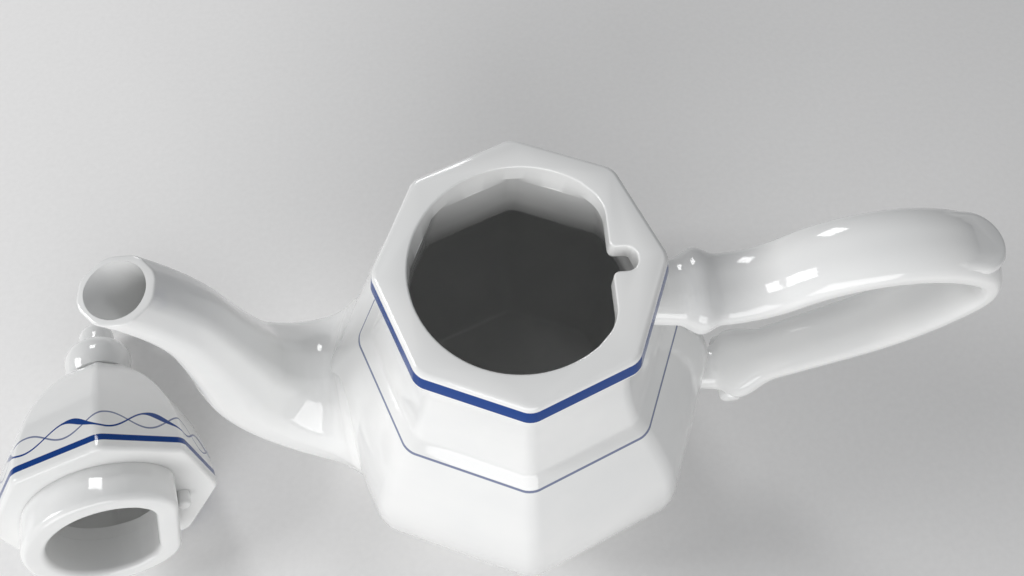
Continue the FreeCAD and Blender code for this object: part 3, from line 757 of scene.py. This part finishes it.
# %% Hand out the materials
PAINTED = {"glazed_vessel": pot_glaze, "glazed_dome": lid_glaze}
for piece, name, *_ in PIECES:
    piece.data.materials.clear()
    piece.data.materials.append(PAINTED.get(name, plain_glaze))
    print(name, "has", piece.data.materials[0].name)

# %% [markdown]
# ## Floor and light
#
# In the photo the pot stands on a red cloth, which isn't part of it. A plain pale floor takes its place. One
# lamp would leave hard shadows and a single highlight. So a wide soft lamp in front lights the pot, a
# window-like one on the left and a small one behind give the bright spots on the glaze, and a dim sky fills
# the rest. The camera sees that sky brighter than the pot does, which keeps the background pale.

# %% Floor
bpy.ops.object.select_all(action="DESELECT")
bpy.ops.mesh.primitive_plane_add(size=6)
floor = bpy.context.object
floor.name = "floor"
paper = bpy.data.materials.new("paper")
paper.use_nodes = True
tree = paper.node_tree
grain = noise(tree, add(tree, "ShaderNodeTexCoord").outputs["Object"], 400.0, 3.0)
ramp = add(tree, "ShaderNodeValToRGB", {0: grain})
ramp.color_ramp.elements[0].color = (0.78, 0.775, 0.77, 1)
ramp.color_ramp.elements[1].color = (0.84, 0.835, 0.83, 1)
shader = tree.nodes["Principled BSDF"]
tree.links.new(ramp.outputs["Color"], shader.inputs["Base Color"])
shader.inputs["Roughness"].default_value = 0.9
floor.data.materials.append(paper)
print("floor:", paper.name)

# %% Lamps and sky
def lamp(name, place, target, size, power):
    """A rectangular lamp that faces a target."""
    data = bpy.data.lights.new(name, "AREA")
    data.shape = "RECTANGLE"
    data.size, data.size_y = size
    data.energy = power
    item = bpy.data.objects.new(name, data)
    item.location = place
    item.rotation_euler = (Vector(target) - Vector(place)).to_track_quat("-Z", "Y").to_euler()
    bpy.context.scene.collection.objects.link(item)


lamp("front", (-0.15, -1.25, 0.65), (0, 0, 0.08), (1.3, 0.8), 13.0)
lamp("window", (-1.0, 0.05, 0.75), (0, 0, 0.1), (0.4, 0.5), 6.0)
lamp("strip", (-0.3, 0.9, 0.75), (0, 0, 0.1), (0.3, 0.3), 3.0)
world = bpy.context.scene.world or bpy.data.worlds.new("studio")
bpy.context.scene.world = world
world.use_nodes = True
sky = world.node_tree
background = sky.nodes["Background"]
background.inputs["Color"].default_value = (0.75, 0.77, 0.8, 1)
seen = add(sky, "ShaderNodeLightPath").outputs["Is Camera Ray"]
sky.links.new(stretch(sky, seen, (0.0, 1.0), (0.22, 0.85)), background.inputs["Strength"])
print("lamps:", [item.name for item in bpy.data.lights])

# %% [markdown]
# ## The camera
#
# The photo looks steeply down into the pot from close by. A camera could be placed by eye, but then outlines
# never quite agree. This one was fitted to the corners of the rim and the shoulder in the photo, and is given
# by two angles, a roll, a target and a distance.

# %% Camera
PICTURE = (1024, 576)
FOCAL_PIXELS, SENSOR = 770, 36.0
TARGET, DISTANCE = Vector((-2.53, -6.24, 152.0)), 190.42
azimuth, elevation, roll = math.radians(-3.822), math.radians(67.092), math.radians(-0.088)
level = math.cos(elevation)
back = Vector((math.sin(azimuth) * level, -math.cos(azimuth) * level, math.sin(elevation)))
right = Vector((0, 0, 1)).cross(back).normalized()
turned = Matrix((right, back.cross(right), back)).transposed().to_4x4() @ Matrix.Rotation(roll, 4, "Z")
camera_data = bpy.data.cameras.new("camera")
camera_data.sensor_width = SENSOR
camera_data.lens = SENSOR * FOCAL_PIXELS / PICTURE[0]
camera_data.clip_start = 0.01
camera = bpy.data.objects.new("camera", camera_data)
camera.matrix_world = Matrix.Translation(TARGET * MM + back * DISTANCE * MM) @ turned
scene = bpy.context.scene
scene.collection.objects.link(camera)
scene.camera = camera
scene.render.resolution_x, scene.render.resolution_y = PICTURE
scene.view_settings.view_transform = "Standard"
print("camera at", [round(value, 3) for value in camera.matrix_world.translation])
